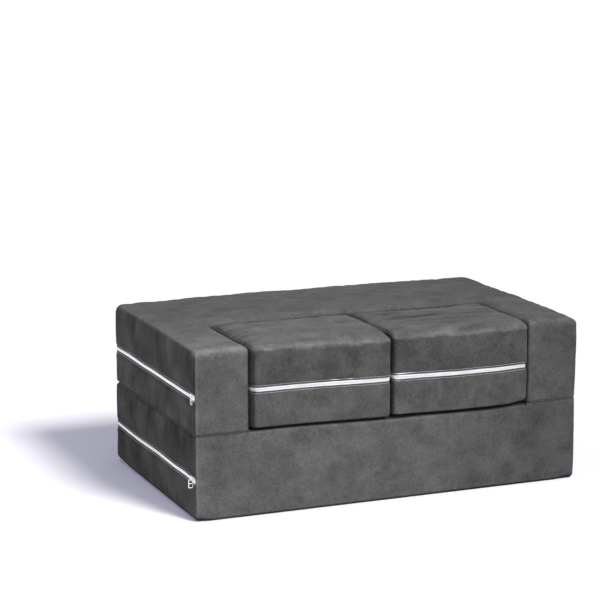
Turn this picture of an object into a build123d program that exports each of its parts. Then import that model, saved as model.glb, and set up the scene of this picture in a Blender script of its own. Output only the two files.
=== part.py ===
"""Children's sofa bed: a foam base, a U-shaped top section that folds out, and two ottomans.

All sizes are in millimetres. X runs along the length, the front faces -Y, and Z is up.
The origin is on the floor, under the middle of the base.
"""
import os
from math import asin, cos, degrees, sin, sqrt

from build123d import *

os.makedirs("parts", exist_ok=True)

# The whole sofa bed
overall_length = 1016.0
overall_depth = 615.0
base_height = 210.0
top_height = 202.0  # of the U-shaped section at its corners, under the crown
arm_width = 136.0
recess_depth = 270.0

# Crown of the filled covers, and the way their edges are rounded
crown_along = 5.0
crown_across = 2.5
ottoman_crown_along = 1.6
ottoman_crown_across = 1.4
top_edge_radius = 10.0
arm_inner_edge_radius = 20.0
seam_edge_radius = 8.0
floor_edge_radius = 8.0
back_corner_radius = 20.0
recess_corner_radius = 6.0
ottoman_corner_radius = 16.0
ottoman_top_edge_radius = 13.0
ottoman_floor_edge_radius = 8.0

# Clearances between the blocks
hinge_gap = 2.0  # the folded hinge strip lies in it
ottoman_floor_gap = 0.3
ottoman_front_recess = 1.0
ottoman_rear_gap = 4.0
left_gap = 8.0
centre_gap = 4.5
right_gap = 2.0

# Cover and foam
cover_thickness = 1.5
foam_clearance = 0.3
panel_seam_drop = 0.8  # the top and bottom panels are sewn on this far past the rounded edge

# Zipper, measured from the face of the cover that it is sewn into
zipper_start = 3.5
zipper_corner_margin = 1.0
valley_depth = 1.2
valley_half_height = 24.0
valley_flat_half_height = 10.8
valley_bulge = 0.5
slot_half_height = 6.6
tape_thickness = 0.8
tape_half_height = 10.0
coil_half_height = 2.6
coil_half_thickness = 1.2
coil_rounding = 0.6
divider_thickness = 1.0
base_zipper_share = 0.48
top_zipper_share = 0.44
ottoman_zipper_share = 0.48

# Slider and its end stops
running_clearance = 0.3
slider_length = 22.0
slider_half_width = 6.2
slider_tail_half_width = 4.8
slider_shoulder = 1.0
slider_corner_radius = 1.4
wing_thickness = 1.0
lip_width = 1.4
lip_length = 11.0
divider_length = 5.0
divider_place = 7.0
bridge_tail = -5.0
bridge_mouth = 6.6
bridge_thickness = 1.4
bridge_width = 1.6
bridge_rise = 3.4  # from the wing to the middle of the bridge's strap
bridge_rounding = 1.2
stop_length = 1.6
stop_gap = 0.3

# Pull: a flat frame with two windows
pull_width = 11.6
pull_height = 21.0
pull_thickness = 1.5
pull_bar = 1.5
pull_corner_radius = 1.8
pull_window_radius = 0.6
pull_play = 1.3  # from the pivot to the inside of the bars around it
flat_pull_lift = 0.6  # of a pull that lies flat on the wing

# Fabric hinge
hinge_leaf_thickness = 0.8
hinge_leaf_gap = 0.3
hinge_leaf_length = 25.0
hinge_side_margin = 9.0
hinge_standoff = 0.6  # from the front faces to the line that the top section turns on

overrun = 5.0

# Places that follow from these sizes
half_length = overall_length / 2
half_depth = overall_depth / 2
top_floor = base_height + hinge_gap
top_corner_height = top_floor + top_height
recess_half_width = half_length - arm_width
recess_back = recess_depth - half_depth
foam_inset = cover_thickness + foam_clearance
tape_middle = -(valley_depth + cover_thickness + tape_thickness / 2)
wing_gap = coil_half_thickness + running_clearance
wing_top = wing_gap + wing_thickness
strap_height = wing_top + bridge_rise
hinge_line_y = -half_depth - hinge_standoff
hinge_line_z = base_height + hinge_leaf_thickness + hinge_leaf_gap / 2

ottoman_floor = base_height + ottoman_floor_gap
ottoman_width = (2 * recess_half_width - left_gap - centre_gap - right_gap) / 2
ottoman_depth = recess_depth - ottoman_front_recess - ottoman_rear_gap
ottoman_height = top_corner_height - ottoman_floor
ottoman_middle_y = -half_depth + ottoman_front_recess + ottoman_depth / 2
left_ottoman_middle_x = -recess_half_width + left_gap + ottoman_width / 2
right_ottoman_middle_x = recess_half_width - right_gap - ottoman_width / 2

base_zipper_height = base_zipper_share * base_height
top_zipper_height = top_floor + top_zipper_share * top_height
ottoman_zipper_height = ottoman_floor + ottoman_zipper_share * ottoman_height
ottoman_rear = ottoman_middle_y + ottoman_depth / 2
ottoman_zipper_end = ottoman_rear - ottoman_corner_radius - zipper_corner_margin
coil_trim = stop_length
slider_setback = stop_length + stop_gap + slider_length / 2


def crown_cap(middle_x, middle_y, reach_x, reach_y, corner_height, rise_x, rise_y, low):
    """A block whose top is an arc both ways: an arched profile turned about a far line below."""
    turn_radius = (reach_x**2 + rise_x**2) / (2 * rise_x)
    arch_radius = (reach_y**2 + rise_y**2) / (2 * rise_y)
    wide_reach = reach_y + overrun
    edge_drop = arch_radius - sqrt(arch_radius**2 - wide_reach**2)
    summit = corner_height + rise_x + rise_y
    body = summit - low + rise_x + overrun
    half_turn = asin((reach_x + overrun) / turn_radius)
    hub = Vector(middle_x, middle_y, summit - turn_radius)
    start = Plane(origin=hub, x_dir=(0, 1, 0), z_dir=(cos(half_turn), 0, sin(half_turn)))
    with BuildPart() as cap:
        with BuildSketch(start):
            with BuildLine():
                left_top = (-wide_reach, turn_radius - edge_drop)
                right_top = (wide_reach, turn_radius - edge_drop)
                left_low = (-wide_reach, turn_radius - body)
                right_low = (wide_reach, turn_radius - body)
                Polyline(left_top, left_low, right_low, right_top)
                ThreePointArc(right_top, (0, turn_radius), left_top)
            make_face()
        revolve(axis=Axis(hub, (0, 1, 0)), revolution_arc=degrees(2 * half_turn))
    return cap.part


def base_form(inset):
    """The base block, drawn in by the inset on every side. Its front top edge is the sewn hinge."""
    with BuildPart() as form:
        with BuildSketch(Plane.XY.offset(inset)) as plan:
            Rectangle(overall_length - 2 * inset, overall_depth - 2 * inset)
            fillet(plan.vertices().group_by(Axis.Y)[-1], radius=back_corner_radius - inset)
        extrude(amount=base_height - 2 * inset)
        top_edges = form.faces().sort_by(Axis.Z)[-1].edges().sort_by(Axis.Y)[1:]
        fillet(top_edges, radius=seam_edge_radius - inset)
        floor_edges = form.faces().sort_by(Axis.Z)[0].edges()
        fillet(floor_edges, radius=floor_edge_radius - inset)
    return form.part


def top_form(inset, inner_radius):
    """The U-shaped section, a back and two arms under one crown, drawn in by the inset."""
    cap = crown_cap(0, 0, half_length, half_depth, top_corner_height - inset,
                    crown_along, crown_across, top_floor)
    with BuildPart() as form:
        with BuildSketch(Plane.XY.offset(top_floor + inset)) as plan:
            Rectangle(overall_length - 2 * inset, overall_depth - 2 * inset)
            fillet(plan.vertices().group_by(Axis.Y)[-1], radius=back_corner_radius - inset)
            recess_reach = recess_depth + inset + overrun
            with Locations((0, recess_back + inset - recess_reach / 2)):
                Rectangle(2 * (recess_half_width + inset), recess_reach, mode=Mode.SUBTRACT)
            if inner_radius > 0:
                inner_corners = plan.vertices().filter_by(
                    lambda corner: abs(corner.X) < half_length - arm_width / 2
                )
                fillet(inner_corners.group_by(Axis.Y)[-1], radius=inner_radius)
        extrude(amount=top_height + crown_along + crown_across + overrun)
        add(cap, mode=Mode.INTERSECT)
        inner_edges = form.faces().sort_by(Axis.Z)[-1].edges().filter_by(
            lambda edge: abs(edge.center().X) < recess_half_width + overrun
            and edge.center().Y < half_depth - overrun
        )
        fillet(inner_edges, radius=arm_inner_edge_radius - inset)
        rim_edges = form.faces().sort_by(Axis.Z)[-1].edges().filter_by(
            lambda edge: abs(edge.center().X) > half_length - arm_width / 4
            or abs(edge.center().Y) > half_depth - inset - overrun
        )
        fillet(rim_edges, radius=top_edge_radius - inset)
        outer_reach = half_length - arm_width / 4
        back_reach = half_depth - back_corner_radius
        floor_edges = form.faces().sort_by(Axis.Z)[0].edges()
        outer_edges = floor_edges.filter_by(
            lambda edge: edge.center().Y > back_reach or abs(edge.center().X) > outer_reach
        )
        fillet(outer_edges, radius=seam_edge_radius - inset)
    return form.part


def ottoman_form(middle_x, inset):
    """One ottoman, a crowned block with rounded corners, drawn in by the inset."""
    cap = crown_cap(middle_x, ottoman_middle_y, ottoman_width / 2, ottoman_depth / 2,
                    top_corner_height - inset, ottoman_crown_along, ottoman_crown_across,
                    ottoman_floor)
    with BuildPart() as form:
        with BuildSketch(Plane.XY.offset(ottoman_floor + inset)):
            with Locations((middle_x, ottoman_middle_y)):
                RectangleRounded(ottoman_width - 2 * inset, ottoman_depth - 2 * inset,
                                 ottoman_corner_radius - inset)
        extrude(amount=ottoman_height + ottoman_crown_along + ottoman_crown_across + overrun)
        add(cap, mode=Mode.INTERSECT)
        fillet(form.faces().sort_by(Axis.Z)[-1].edges(), radius=ottoman_top_edge_radius - inset)
        fillet(form.faces().sort_by(Axis.Z)[0].edges(), radius=ottoman_floor_edge_radius - inset)
    return form.part


def left_and_back_line(height, trim):
    """A zipper's line up the left end of a block and along its back, less a trim at both ends."""
    back_end = half_length - back_corner_radius - zipper_corner_margin
    with BuildLine(Plane.XY.offset(height)) as line:
        Line((-half_length, -half_depth + zipper_start + trim),
             (-half_length, half_depth - back_corner_radius))
        JernArc((-half_length, half_depth - back_corner_radius), (0, 1), back_corner_radius, -90)
        Line((-half_length + back_corner_radius, half_depth), (back_end - trim, half_depth))
    return line.wire()


def three_side_line(middle_x, height, trim):
    """An ottoman's zipper's line, right side to front to left side, less a trim at both ends."""
    right = middle_x + ottoman_width / 2
    left = middle_x - ottoman_width / 2
    front = ottoman_middle_y - ottoman_depth / 2
    with BuildLine(Plane.XY.offset(height)) as line:
        Line((right, ottoman_zipper_end - trim), (right, front + ottoman_corner_radius))
        JernArc((right, front + ottoman_corner_radius), (0, -1), ottoman_corner_radius, -90)
        Line((right - ottoman_corner_radius, front), (left + ottoman_corner_radius, front))
        JernArc((left + ottoman_corner_radius, front), (-1, 0), ottoman_corner_radius, -90)
        Line((left, front + ottoman_corner_radius), (left, ottoman_zipper_end - trim))
    return line.wire()


def section_plane(line, place):
    """The plane across a zipper's line, with X out of the cover and Y up."""
    travel = line % place
    return Plane(origin=line @ place, x_dir=(-travel.Y, travel.X, 0), z_dir=travel)


def valley(line, inset):
    """The shallow channel that a sewn-in zipper pulls into a filled cover."""
    bottom = -valley_depth - inset
    middle_height = (valley_half_height + valley_flat_half_height) / 2
    middle = -inset - valley_depth / 2 + valley_bulge
    with BuildPart() as channel:
        with BuildSketch(section_plane(line, 0)):
            with BuildLine():
                Polyline((-inset, -valley_half_height), (overrun, -valley_half_height),
                         (overrun, valley_half_height), (-inset, valley_half_height))
                ThreePointArc((-inset, valley_half_height), (middle, middle_height),
                              (bottom, valley_flat_half_height))
                Line((bottom, valley_flat_half_height), (bottom, -valley_flat_half_height))
                ThreePointArc((bottom, -valley_flat_half_height), (middle, -middle_height),
                              (-inset, -valley_half_height))
            make_face()
        sweep(path=line)
    return channel.part


def strip(line, near, far, low, high):
    """A flat strip swept along a zipper's line, between two depths and two heights."""
    with BuildPart() as swept:
        with BuildSketch(section_plane(line, 0)):
            with Locations(((near + far) / 2, (low + high) / 2)):
                Rectangle(far - near, high - low)
        sweep(path=line)
    return swept.part


def foam_channel(line):
    """The room in the foam behind a zipper, where the slider's inner wing runs."""
    depth = tape_middle - wing_top - running_clearance
    flat = tape_half_height + running_clearance
    shoulder = valley_half_height + foam_clearance
    with BuildPart() as channel:
        with BuildSketch(section_plane(line, 0)):
            with BuildLine():
                Polyline((overrun, -shoulder), (overrun, shoulder), (-foam_inset, shoulder),
                         (depth, flat), (depth, -flat), (-foam_inset, -shoulder), close=True)
            make_face()
        sweep(path=line)
    return channel.part


def export_piece(piece, label):
    piece.label = label
    export_step(piece, f"parts/{label}.step")


def make_cover(name, outer, inner, zipper_line, low_seam, high_seam):
    """The sewn cover: a top panel, a side band with the zipper's slot, and a bottom panel."""
    outer_valley = valley(zipper_line, 0)
    inner_valley = valley(zipper_line, cover_thickness)
    slot = strip(zipper_line, tape_middle, overrun, -slot_half_height, slot_half_height)
    with BuildPart() as lining:
        add(inner)
        add(inner_valley, mode=Mode.SUBTRACT)
    with BuildPart() as whole:
        add(outer)
        add(outer_valley, mode=Mode.SUBTRACT)
        add(lining.part, mode=Mode.SUBTRACT)
        add(slot, mode=Mode.SUBTRACT)
    with BuildPart() as top_panel:
        add(whole.part)
        split(bisect_by=Plane.XY.offset(high_seam), keep=Keep.TOP)
    with BuildPart() as side_band:
        add(whole.part)
        split(bisect_by=Plane.XY.offset(high_seam), keep=Keep.BOTTOM)
        split(bisect_by=Plane.XY.offset(low_seam), keep=Keep.TOP)
    with BuildPart() as bottom_panel:
        add(whole.part)
        split(bisect_by=Plane.XY.offset(low_seam), keep=Keep.BOTTOM)
    export_piece(top_panel.part, f"{name}_cover_top_panel")
    export_piece(side_band.part, f"{name}_cover_side_band")
    export_piece(bottom_panel.part, f"{name}_cover_bottom_panel")


def coil(line, low, high):
    """One of the two rows of the zipper's coil, as the rod that its turns fill."""
    with BuildPart() as rod:
        with BuildSketch(section_plane(line, 0)):
            with Locations((tape_middle, (low + high) / 2)):
                RectangleRounded(2 * coil_half_thickness, high - low, coil_rounding)
        sweep(path=line)
    return rod.part


def make_zipper(name, line, coil_line):
    """The two tapes, the two rows of coil and the crimped stops at both ends."""
    tape_near = tape_middle - tape_thickness / 2
    tape_far = tape_middle + tape_thickness / 2
    coil_inside = divider_thickness / 2 + running_clearance
    row_height = coil_half_height - coil_inside
    row_middle = (coil_half_height + coil_inside) / 2
    export_piece(strip(line, tape_near, tape_far, coil_half_height, tape_half_height),
                 f"{name}_zipper_upper_tape")
    export_piece(strip(line, tape_near, tape_far, -tape_half_height, -coil_half_height),
                 f"{name}_zipper_lower_tape")
    export_piece(coil(coil_line, coil_inside, coil_half_height), f"{name}_zipper_upper_coil")
    export_piece(coil(coil_line, -coil_half_height, -coil_inside), f"{name}_zipper_lower_coil")
    with BuildPart() as stops:
        with BuildSketch(section_plane(coil_line, 0)):
            with Locations((tape_middle, row_middle), (tape_middle, -row_middle)):
                Rectangle(2 * coil_half_thickness, row_height)
        extrude(amount=-stop_length)
        with BuildSketch(section_plane(coil_line, 1)):
            with Locations((tape_middle, row_middle), (tape_middle, -row_middle)):
                Rectangle(2 * coil_half_thickness, row_height)
        extrude(amount=stop_length)
    export_piece(stops.part, f"{name}_zipper_end_stops")


def make_slider(name, seat, mouth):
    """The zipper slider: two wings with lips round the coil, a divider and the pull's bridge."""
    tail = -mouth * slider_length / 2
    front = mouth * slider_length / 2
    with BuildSketch(Plane.XY) as wing:
        with BuildLine():
            Polyline((tail, slider_tail_half_width), (mouth * slider_shoulder, slider_half_width),
                     (front, slider_half_width), (front, -slider_half_width),
                     (mouth * slider_shoulder, -slider_half_width),
                     (tail, -slider_tail_half_width), close=True)
        make_face()
        fillet(wing.vertices(), radius=slider_corner_radius)
    lip_height = slider_tail_half_width - lip_width / 2
    lip_place = tail + mouth * (lip_length / 2 + slider_corner_radius)
    lip_start = tape_thickness / 2 + running_clearance
    bridge_plane = Plane(origin=seat.origin, x_dir=seat.x_dir, z_dir=-seat.y_dir)
    bridge_middle = mouth * (bridge_mouth + bridge_tail) / 2
    bridge_reach = bridge_mouth - bridge_tail
    bridge_top = strap_height + bridge_thickness / 2
    with BuildPart() as slider:
        with BuildSketch(seat.offset(wing_gap)):
            add(wing.sketch)
        extrude(amount=wing_thickness)
        with BuildSketch(seat.offset(-wing_gap)):
            add(wing.sketch)
        extrude(amount=-wing_thickness)
        with BuildSketch(seat.offset(-wing_gap)):
            with Locations((mouth * divider_place, 0)):
                Rectangle(divider_length, divider_thickness)
        extrude(amount=2 * wing_gap)
        with BuildSketch(seat.offset(lip_start)):
            with Locations((lip_place, lip_height), (lip_place, -lip_height)):
                Rectangle(lip_length, lip_width)
        extrude(amount=wing_gap - lip_start)
        with BuildSketch(seat.offset(-lip_start)):
            with Locations((lip_place, lip_height), (lip_place, -lip_height)):
                Rectangle(lip_length, lip_width)
        extrude(amount=lip_start - wing_gap)
        with BuildSketch(bridge_plane):
            with Locations((bridge_middle, (wing_top + bridge_top) / 2)):
                RectangleRounded(bridge_reach, bridge_top - wing_top, bridge_rounding)
            with Locations((bridge_middle, (wing_top + bridge_rounding) / 2)):
                Rectangle(bridge_reach, wing_top - bridge_rounding + wing_thickness)
            with Locations((bridge_middle, (wing_top + strap_height - bridge_thickness / 2) / 2)):
                Rectangle(bridge_reach - 2 * bridge_thickness,
                          strap_height - bridge_thickness / 2 - wing_top, mode=Mode.SUBTRACT)
        extrude(amount=bridge_width / 2, both=True)
    export_piece(slider.part, f"{name}_zipper_slider")


def make_pull(name, pivot_plane, sideways):
    """The pull: a frame with two windows, whose upper window holds the slider's bridge."""
    top = pull_play + pull_bar
    window_width = pull_width - 2 * pull_bar
    window_height = (pull_height - 3 * pull_bar) / 2
    upper_window = pull_play - window_height / 2
    lower_window = upper_window - window_height - pull_bar
    with BuildPart() as pull:
        with BuildSketch(pivot_plane):
            with Locations((sideways, top - pull_height / 2)):
                RectangleRounded(pull_width, pull_height, pull_corner_radius)
            with Locations((sideways, upper_window), (sideways, lower_window)):
                RectangleRounded(window_width, window_height, pull_window_radius,
                                 mode=Mode.SUBTRACT)
        extrude(amount=pull_thickness / 2, both=True)
    export_piece(pull.part, f"{name}_zipper_pull")


def make_hinge_strip(name, start_x, end_x):
    """A fabric strip folded between the base and an arm: one leaf is sewn to each."""
    inner_y = -half_depth + hinge_leaf_length
    bore = hinge_leaf_gap / 2
    rim = bore + hinge_leaf_thickness
    with BuildPart() as hinge_strip:
        with BuildSketch(Plane.YZ.offset(start_x)):
            with BuildLine():
                Polyline((hinge_line_y, hinge_line_z - bore), (inner_y, hinge_line_z - bore),
                         (inner_y, hinge_line_z - rim), (hinge_line_y, hinge_line_z - rim))
                ThreePointArc((hinge_line_y, hinge_line_z - rim),
                              (hinge_line_y - rim, hinge_line_z), (hinge_line_y, hinge_line_z + rim))
                Polyline((hinge_line_y, hinge_line_z + rim), (inner_y, hinge_line_z + rim),
                         (inner_y, hinge_line_z + bore), (hinge_line_y, hinge_line_z + bore))
                ThreePointArc((hinge_line_y, hinge_line_z + bore),
                              (hinge_line_y - bore, hinge_line_z), (hinge_line_y, hinge_line_z - bore))
            make_face()
        extrude(amount=end_x - start_x)
    export_piece(hinge_strip.part, f"{name}_hinge_strip")


def slider_seat(left_face, height, place):
    """The middle of a slider on a left face, with X to the front, Y up and Z out of the cover."""
    return Plane(origin=(left_face - tape_middle, place, height), x_dir=(0, -1, 0),
                 z_dir=(-1, 0, 0))


def flat_pull_pivot(seat, mouth):
    """The pivot of a pull that lies flat on the wing, round the bridge's tail post."""
    post = mouth * (bridge_tail + bridge_thickness / 2)
    lift = wing_top + flat_pull_lift + pull_thickness / 2
    return Plane(origin=seat.origin + seat.x_dir * post + seat.z_dir * lift,
                 x_dir=seat.x_dir, z_dir=seat.z_dir)


def standing_pull_pivot(seat, mouth):
    """The pivot of a pull that hangs on the bridge's strap and stands out from the cover."""
    middle = mouth * (bridge_mouth + bridge_tail) / 2
    return Plane(origin=seat.origin + seat.x_dir * middle + seat.z_dir * strap_height,
                 x_dir=seat.z_dir, z_dir=-seat.x_dir)


# Base: one foam block in a zipped cover
base_line = left_and_back_line(base_zipper_height, 0)
make_cover("base", base_form(0), base_form(cover_thickness), base_line,
           floor_edge_radius + panel_seam_drop,
           base_height - seam_edge_radius - panel_seam_drop)
base_foam = base_form(foam_inset)
base_foam_channel = foam_channel(base_line)
with BuildPart() as base_foam_core:
    add(base_foam)
    add(base_foam_channel, mode=Mode.SUBTRACT)
export_piece(base_foam_core.part, "base_foam_core")
make_zipper("base", base_line, left_and_back_line(base_zipper_height, coil_trim))
base_seat = slider_seat(-half_length, base_zipper_height,
                        -half_depth + zipper_start + slider_setback)
make_slider("base", base_seat, 1)
make_pull("base", standing_pull_pivot(base_seat, 1), pull_width / 2 - pull_play - pull_bar)

# Top section: a back and two arms of foam, glued to each other, in one U-shaped cover
top_line = left_and_back_line(top_zipper_height, 0)
make_cover("top", top_form(0, recess_corner_radius),
           top_form(cover_thickness, recess_corner_radius + cover_thickness), top_line,
           top_floor + seam_edge_radius + panel_seam_drop,
           top_corner_height - top_edge_radius - panel_seam_drop)
top_foam = top_form(foam_inset, 0)
top_foam_channel = foam_channel(top_line)
arm_joint = Plane.XZ.offset(-recess_back - foam_inset)
with BuildPart() as back_foam_block:
    add(top_foam)
    add(top_foam_channel, mode=Mode.SUBTRACT)
    split(bisect_by=arm_joint, keep=Keep.BOTTOM)
with BuildPart() as left_arm_foam_block:
    add(top_foam)
    add(top_foam_channel, mode=Mode.SUBTRACT)
    split(bisect_by=arm_joint, keep=Keep.TOP)
    split(bisect_by=Plane.YZ, keep=Keep.BOTTOM)
with BuildPart() as right_arm_foam_block:
    add(top_foam)
    split(bisect_by=arm_joint, keep=Keep.TOP)
    split(bisect_by=Plane.YZ, keep=Keep.TOP)
export_piece(back_foam_block.part, "back_foam_block")
export_piece(left_arm_foam_block.part, "left_arm_foam_block")
export_piece(right_arm_foam_block.part, "right_arm_foam_block")
make_zipper("top", top_line, left_and_back_line(top_zipper_height, coil_trim))
top_seat = slider_seat(-half_length, top_zipper_height,
                       -half_depth + zipper_start + slider_setback)
make_slider("top", top_seat, 1)
make_pull("top", flat_pull_pivot(top_seat, 1), 0)

# Fabric hinge: a folded strip under the front of each arm
make_hinge_strip("left", -half_length + hinge_side_margin, -recess_half_width - hinge_side_margin)
make_hinge_strip("right", recess_half_width + hinge_side_margin, half_length - hinge_side_margin)

# Ottomans: two alike, side by side in the recess, each with its slider at the rear of its left side
for side, middle_x in (("left", left_ottoman_middle_x), ("right", right_ottoman_middle_x)):
    name = f"{side}_ottoman"
    ottoman_line = three_side_line(middle_x, ottoman_zipper_height, 0)
    make_cover(name, ottoman_form(middle_x, 0), ottoman_form(middle_x, cover_thickness),
               ottoman_line, ottoman_floor + ottoman_floor_edge_radius + panel_seam_drop,
               top_corner_height - ottoman_top_edge_radius - panel_seam_drop)
    ottoman_foam = ottoman_form(middle_x, foam_inset)
    ottoman_foam_channel = foam_channel(ottoman_line)
    with BuildPart() as ottoman_foam_core:
        add(ottoman_foam)
        add(ottoman_foam_channel, mode=Mode.SUBTRACT)
    export_piece(ottoman_foam_core.part, f"{name}_foam_core")
    make_zipper(name, ottoman_line, three_side_line(middle_x, ottoman_zipper_height, coil_trim))
    ottoman_seat = slider_seat(middle_x - ottoman_width / 2, ottoman_zipper_height,
                               ottoman_zipper_end - slider_setback)
    make_slider(name, ottoman_seat, -1)
    make_pull(name, flat_pull_pivot(ottoman_seat, -1), 0)

# Where things turn and how far they run, for reading beside the model
print("hinge line", hinge_line_y, hinge_line_z)
print("base slider seat", base_seat.origin, "top slider seat", top_seat.origin)
print("base pull pivot", standing_pull_pivot(base_seat, 1).origin)
print("top pull pivot", flat_pull_pivot(top_seat, 1).origin)
print("slider run along the left end",
      overall_depth - zipper_start - back_corner_radius - slider_setback - slider_length / 2)
print("ottomans", left_ottoman_middle_x, right_ottoman_middle_x, ottoman_middle_y,
      ottoman_width, ottoman_depth, ottoman_height)
print("slider run along an ottoman's side",
      ottoman_depth - 2 * ottoman_corner_radius - zipper_corner_margin - slider_setback
      - slider_length / 2)
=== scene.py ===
"""Children's sofa bed: a foam base, a U-shaped top section that folds out, and two ottomans.

Everything is in metres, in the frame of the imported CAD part: X along the length, the front
faces -Y, Z up, and the floor at zero.
"""
import math

import bmesh
import bpy
import numpy as np
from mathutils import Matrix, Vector, bvhtree, kdtree


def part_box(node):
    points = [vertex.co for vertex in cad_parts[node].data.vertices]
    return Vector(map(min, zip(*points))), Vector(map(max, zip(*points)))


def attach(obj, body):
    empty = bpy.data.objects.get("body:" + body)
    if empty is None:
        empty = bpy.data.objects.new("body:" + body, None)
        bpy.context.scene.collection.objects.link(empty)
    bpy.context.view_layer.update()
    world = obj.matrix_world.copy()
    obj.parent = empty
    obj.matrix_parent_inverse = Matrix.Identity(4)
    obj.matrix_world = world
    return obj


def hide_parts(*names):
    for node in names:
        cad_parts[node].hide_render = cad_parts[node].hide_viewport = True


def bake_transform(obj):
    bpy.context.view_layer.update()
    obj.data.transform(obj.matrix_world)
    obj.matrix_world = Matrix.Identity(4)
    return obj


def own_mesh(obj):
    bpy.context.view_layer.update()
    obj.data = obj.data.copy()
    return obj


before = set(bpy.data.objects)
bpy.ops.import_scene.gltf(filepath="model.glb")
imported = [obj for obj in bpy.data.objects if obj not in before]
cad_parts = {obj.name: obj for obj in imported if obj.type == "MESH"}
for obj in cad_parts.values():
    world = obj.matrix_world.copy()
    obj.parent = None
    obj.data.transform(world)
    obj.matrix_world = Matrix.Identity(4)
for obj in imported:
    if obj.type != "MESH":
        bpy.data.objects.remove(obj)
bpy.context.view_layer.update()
scene = bpy.context.scene


# Base cushion: one block of polyurethane foam in a zipped microsuede cover, flat on the floor.
# The cover is a top panel, a side band and a bottom panel, sewn edge to edge without piping.
# The front top edge is square, because the hinge strips are sewn along it.
mm = 0.001
base_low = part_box("base_cover_bottom_panel")[0]
base_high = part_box("base_cover_top_panel")[1]
base_middle = ((base_low.x + base_high.x) / 2, (base_low.y + base_high.y) / 2)
base_half = (base_high.x - base_middle[0], base_high.y - base_middle[1])
back_corner = 20 * mm
sewn_corner = 4.5 * mm
base_top_edge = 8 * mm
base_floor_edge = 8 * mm
front_hinge_edge = 1.5 * mm
arm_width = 136 * mm
recess_half = base_half[0] - arm_width
zipper_slot = 4.3 * mm  # half the height of the opening that shows the zipper
slider_slot = 6.4 * mm  # and the same where the slider spreads its lips
zipper_start = base_low.y + 3.5 * mm
zipper_end = base_high.x - back_corner - 1 * mm
stitch_height = 9.1 * mm  # of the topstitching, above and below the zipper
held_by_zipper = 12 * mm  # above and below it, where its tapes hold the cover flat
close_steps = [0, 1.2, 2.4, 4, 6, 8.5, 11.5, 15.5, 20.5]
zipper_steps = [0, 3, 3.9, 4.7, 5.6, 6.4, 7.3, 8.2, 9.1, 10, 11.5, 14, 17.5, 21.5, 25]
seam_depth = 0.9 * mm
seam_width = 1.1 * mm
seam_ridge = 6 * mm  # from a sewn corner to the ridge of its seam allowance
cloth_spacing = 14 * mm  # of the coarse cloth that the filling presses out
cloth_frames = 20
cloth_blur = 9 * mm


def zipper_level(name):
    """The height of a zipper's middle, between its two tapes."""
    return (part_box(f"{name}_zipper_upper_tape")[1].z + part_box(f"{name}_zipper_lower_tape")[0].z) / 2


base_zipper_height = zipper_level("base")


def set_all(thing, **values):
    """Sets several of a thing's properties."""
    for key, value in values.items():
        setattr(thing, key, value)


def ramp(value, start, end):
    """From 0 before the start to 1 past the end, with soft ends."""
    share = np.clip((value - start) / (end - start), 0, 1)
    return share * share * (3 - 2 * share)


def ramp_from(edge, value, start, end):
    """The same between two places, in mm from an edge."""
    return ramp(value, edge + start * mm, edge + end * mm)


def bell(value, width):
    """A bump of height 1 where the value is 0."""
    return np.exp(-(value / width)**2)


def wander(points, size, seed, waves=28):
    """A smooth random field of unit spread, whose swells are about as wide as the size."""
    dice = np.random.default_rng(seed)
    ways = dice.normal(size=(waves, 3)) * 2.0 / np.array(size)
    phase = dice.uniform(0, 2 * math.pi, waves)
    return np.sin(points @ ways.T + phase).sum(1) * math.sqrt(2 / waves)


def grid_lines(low, high, spacing, marks=()):
    """Where a block's grid lines lie: close at its edges and round each zipper or seam."""
    wanted = [low + s * mm for s in close_steps] + [high - s * mm for s in close_steps]
    for mark, steps in marks:
        wanted += [mark + s * mm for s in steps] + [mark - s * mm for s in steps]
    lines = [low]
    for place in sorted(p for p in wanted if low < p <= high):
        gap = place - lines[-1]
        if gap > 0.3 * mm:
            count = max(1, round(gap / spacing))
            lines += list(lines[-1] + gap * np.arange(1, count + 1) / count)
    lines[-1] = high
    return np.array(lines)


def block_skin(lines, filled):
    """Quads round the filled cells of a grid, facing outwards: points and faces."""
    shape = [len(line) for line in lines]
    centres = np.meshgrid(*[(line[1:] + line[:-1]) / 2 for line in lines], indexing="ij")
    full = np.pad(filled(*centres), 1)
    quads = []
    for axis in range(3):
        for sign in (1, -1):
            cells = np.array(np.nonzero(full & ~np.roll(full, -sign, axis))) - 1
            if sign > 0:
                cells[axis] += 1
            u, v = (axis + 1) % 3, (axis + 2) % 3
            loop = []
            for du, dv in ((0, 0), (1, 0), (1, 1), (0, 1))[::sign]:
                corner = cells.copy()
                corner[u] += du
                corner[v] += dv
                loop.append(np.ravel_multi_index(corner, shape))
            quads.append(np.array(loop).T)
    used, faces = np.unique(np.concatenate(quads), return_inverse=True)
    places = np.unravel_index(used, shape)
    points = np.stack([line[place] for line, place in zip(lines, places)], 1)
    return points, faces.reshape(-1, 4)


def whole(x, y, z):
    """Every cell of a grid filled, for a plain block."""
    return np.ones_like(x, bool)


def rounded(a, b, radius):
    """The distance from the rounded corner of two faces, from the distances to those."""
    a, b = a + radius, b + radius
    return np.minimum(np.maximum(a, b), 0) + np.hypot(np.maximum(a, 0), np.maximum(b, 0)) - radius


def rounded_plan(x, y, middle, half, front_radius, back_radius):
    """The distance from a rectangle seen from above, whose front and back corners differ."""
    return rounded(abs(x - middle[0]) - half[0], abs(y - middle[1]) - half[1],
                   np.where(y > middle[1], back_radius, front_radius))


def block_form(plan, floor, top, floor_edge, top_edge):
    """A block with a plan, a floor, a crowned top and rounded edges: how far points are off it."""
    def distance(points):
        x, y, z = points.T
        summit = top(x, y)
        upper = z > (floor + summit) / 2
        return rounded(plan(x, y, z), np.where(upper, z - summit, floor - z),
                       np.where(upper, top_edge(x, y), floor_edge(x, y)))

    return distance


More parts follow.
